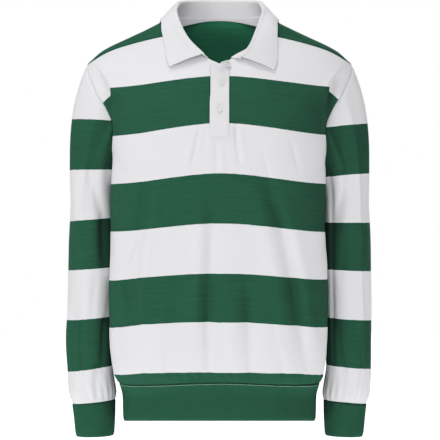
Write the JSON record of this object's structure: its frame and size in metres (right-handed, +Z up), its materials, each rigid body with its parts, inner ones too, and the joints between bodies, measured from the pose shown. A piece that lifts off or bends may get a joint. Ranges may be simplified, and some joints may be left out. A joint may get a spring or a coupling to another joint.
{
  "type": "rugby shirt",
  "caption": "Long-sleeved hooped rugby shirt, filled out as worn, hollow, with a folded white collar, an open button placket, and rib cuffs and hem band.",
  "frame": {"origin": "middle of the neck opening, level with the ends of the back neck seam, where the wearer's neck and shoulders hold the shirt", "axes": "+Z up towards the collar, +Y from the front of the shirt to its back, +X across it towards the wearer's left"},
  "size_m": [0.5338, 0.2531, 0.773],
  "materials": {
    "jersey": "heavy cotton jersey in white and green hoops",
    "rib": "green cotton rib",
    "collar_twill": "white cotton twill",
    "tape": "white cotton herringbone tape",
    "button": "cream moulded rubber, satin"
  },
  "bodies": {
    "root": {"front_panel": "jersey", "back_panel": "jersey", "sleeve_left": "jersey", "sleeve_right": "jersey", "cuff_left": "rib", "cuff_right": "rib", "hem_band": "rib", "collar": "collar_twill", "neck_tape": "tape", "placket_lower": "collar_twill", "placket_upper": "collar_twill", "button_top": "button", "button_middle": "button", "button_low": "button"}
  },
  "joints": []
}
